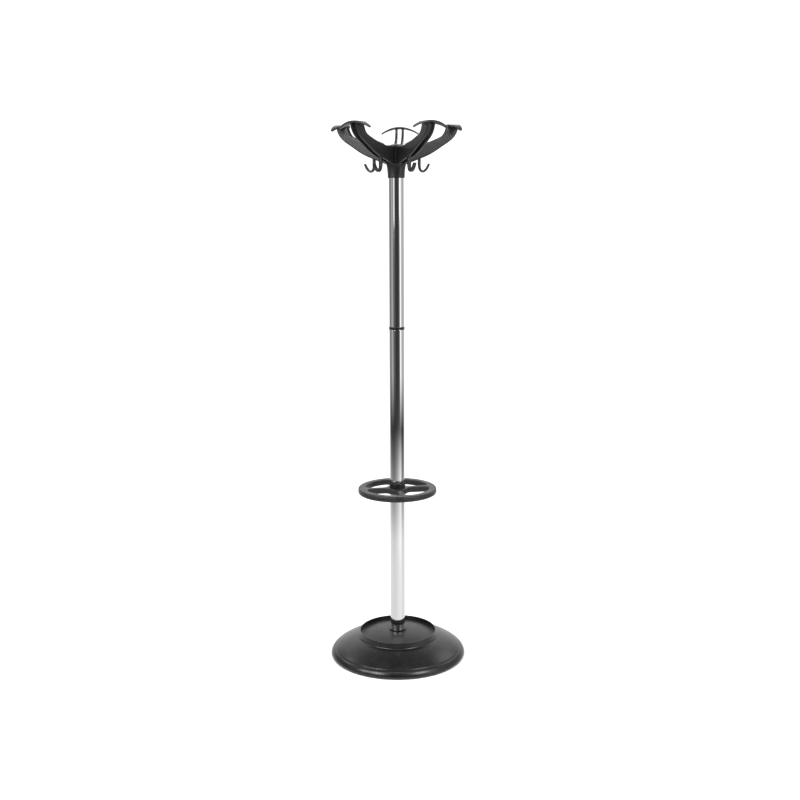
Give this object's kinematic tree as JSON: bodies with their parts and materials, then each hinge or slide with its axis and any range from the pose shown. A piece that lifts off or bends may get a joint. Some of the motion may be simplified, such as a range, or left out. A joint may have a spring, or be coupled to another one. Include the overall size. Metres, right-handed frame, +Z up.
{
  "type": "coat stand",
  "caption": "Free-standing coat stand: weighted round base with a drip tray, chrome pole, umbrella ring and a turning head of double-hook arms.",
  "frame": {"origin": "on the floor, on the axis of the pole", "axes": "+Z up along the pole; +Y along one arm of the head at rest"},
  "size_m": [0.437, 0.437, 1.696],
  "materials": {
    "base_black": "satin black moulding with a fine grain",
    "tray_black": "smooth glossy black",
    "ring_black": "grainy matt black moulding",
    "fitting_black": "half gloss black moulding",
    "head_black": "satin black moulding",
    "pole_chrome": "bright chrome plating",
    "plate_black": "black painted sheet steel",
    "concrete": "cast concrete",
    "foot_rubber": "matt rubber",
    "zinc_steel": "zinc plated steel",
    "plug_plastic": "plain moulding",
    "slide_white": "low friction plastic"
  },
  "bodies": {
    "stand": {"base_cover": "base_black", "drip_tray": "tray_black", "ballast": "concrete", "base_plate": "plate_black", "foot_1": "foot_rubber", "foot_2": "foot_rubber", "foot_3": "foot_rubber", "foot_4": "foot_rubber", "foot_5": "foot_rubber", "base_screws": "zinc_steel", "base_washer": "zinc_steel", "base_bolt": "zinc_steel", "pole_socket": "fitting_black", "stub_bush": "fitting_black", "ring_collar": "fitting_black", "joint_spacer": "fitting_black", "stub_sleeve": "pole_chrome", "lower_tube": "pole_chrome", "middle_tube": "pole_chrome", "upper_tube": "pole_chrome", "lower_tube_bottom_plug": "plug_plastic", "lower_tube_top_plug": "plug_plastic", "middle_tube_bottom_plug": "plug_plastic", "middle_tube_top_plug": "plug_plastic", "upper_tube_bottom_plug": "plug_plastic", "pivot_plug": "plug_plastic", "lower_stud": "zinc_steel", "upper_stud": "zinc_steel", "pivot_bolt": "zinc_steel", "pivot_washer": "zinc_steel", "umbrella_ring": "ring_black", "thrust_washer": "slide_white"},
    "head": {"head_hub": "head_black", "head_cap": "head_black", "arm_screws": "zinc_steel", "arm_1": "head_black", "arm_2": "head_black", "arm_3": "head_black", "arm_4": "head_black", "arm_5": "head_black", "lower_hook_1": "head_black", "lower_hook_2": "head_black", "lower_hook_3": "head_black", "lower_hook_4": "head_black", "lower_hook_5": "head_black"}
  },
  "joints": [
    {"name": "head_swivel", "type": "hinge", "parent": "stand", "child": "head", "pos_m": [0, 0, 1.5878], "axis": [0, 0, 1], "continuous": true}
  ]
}
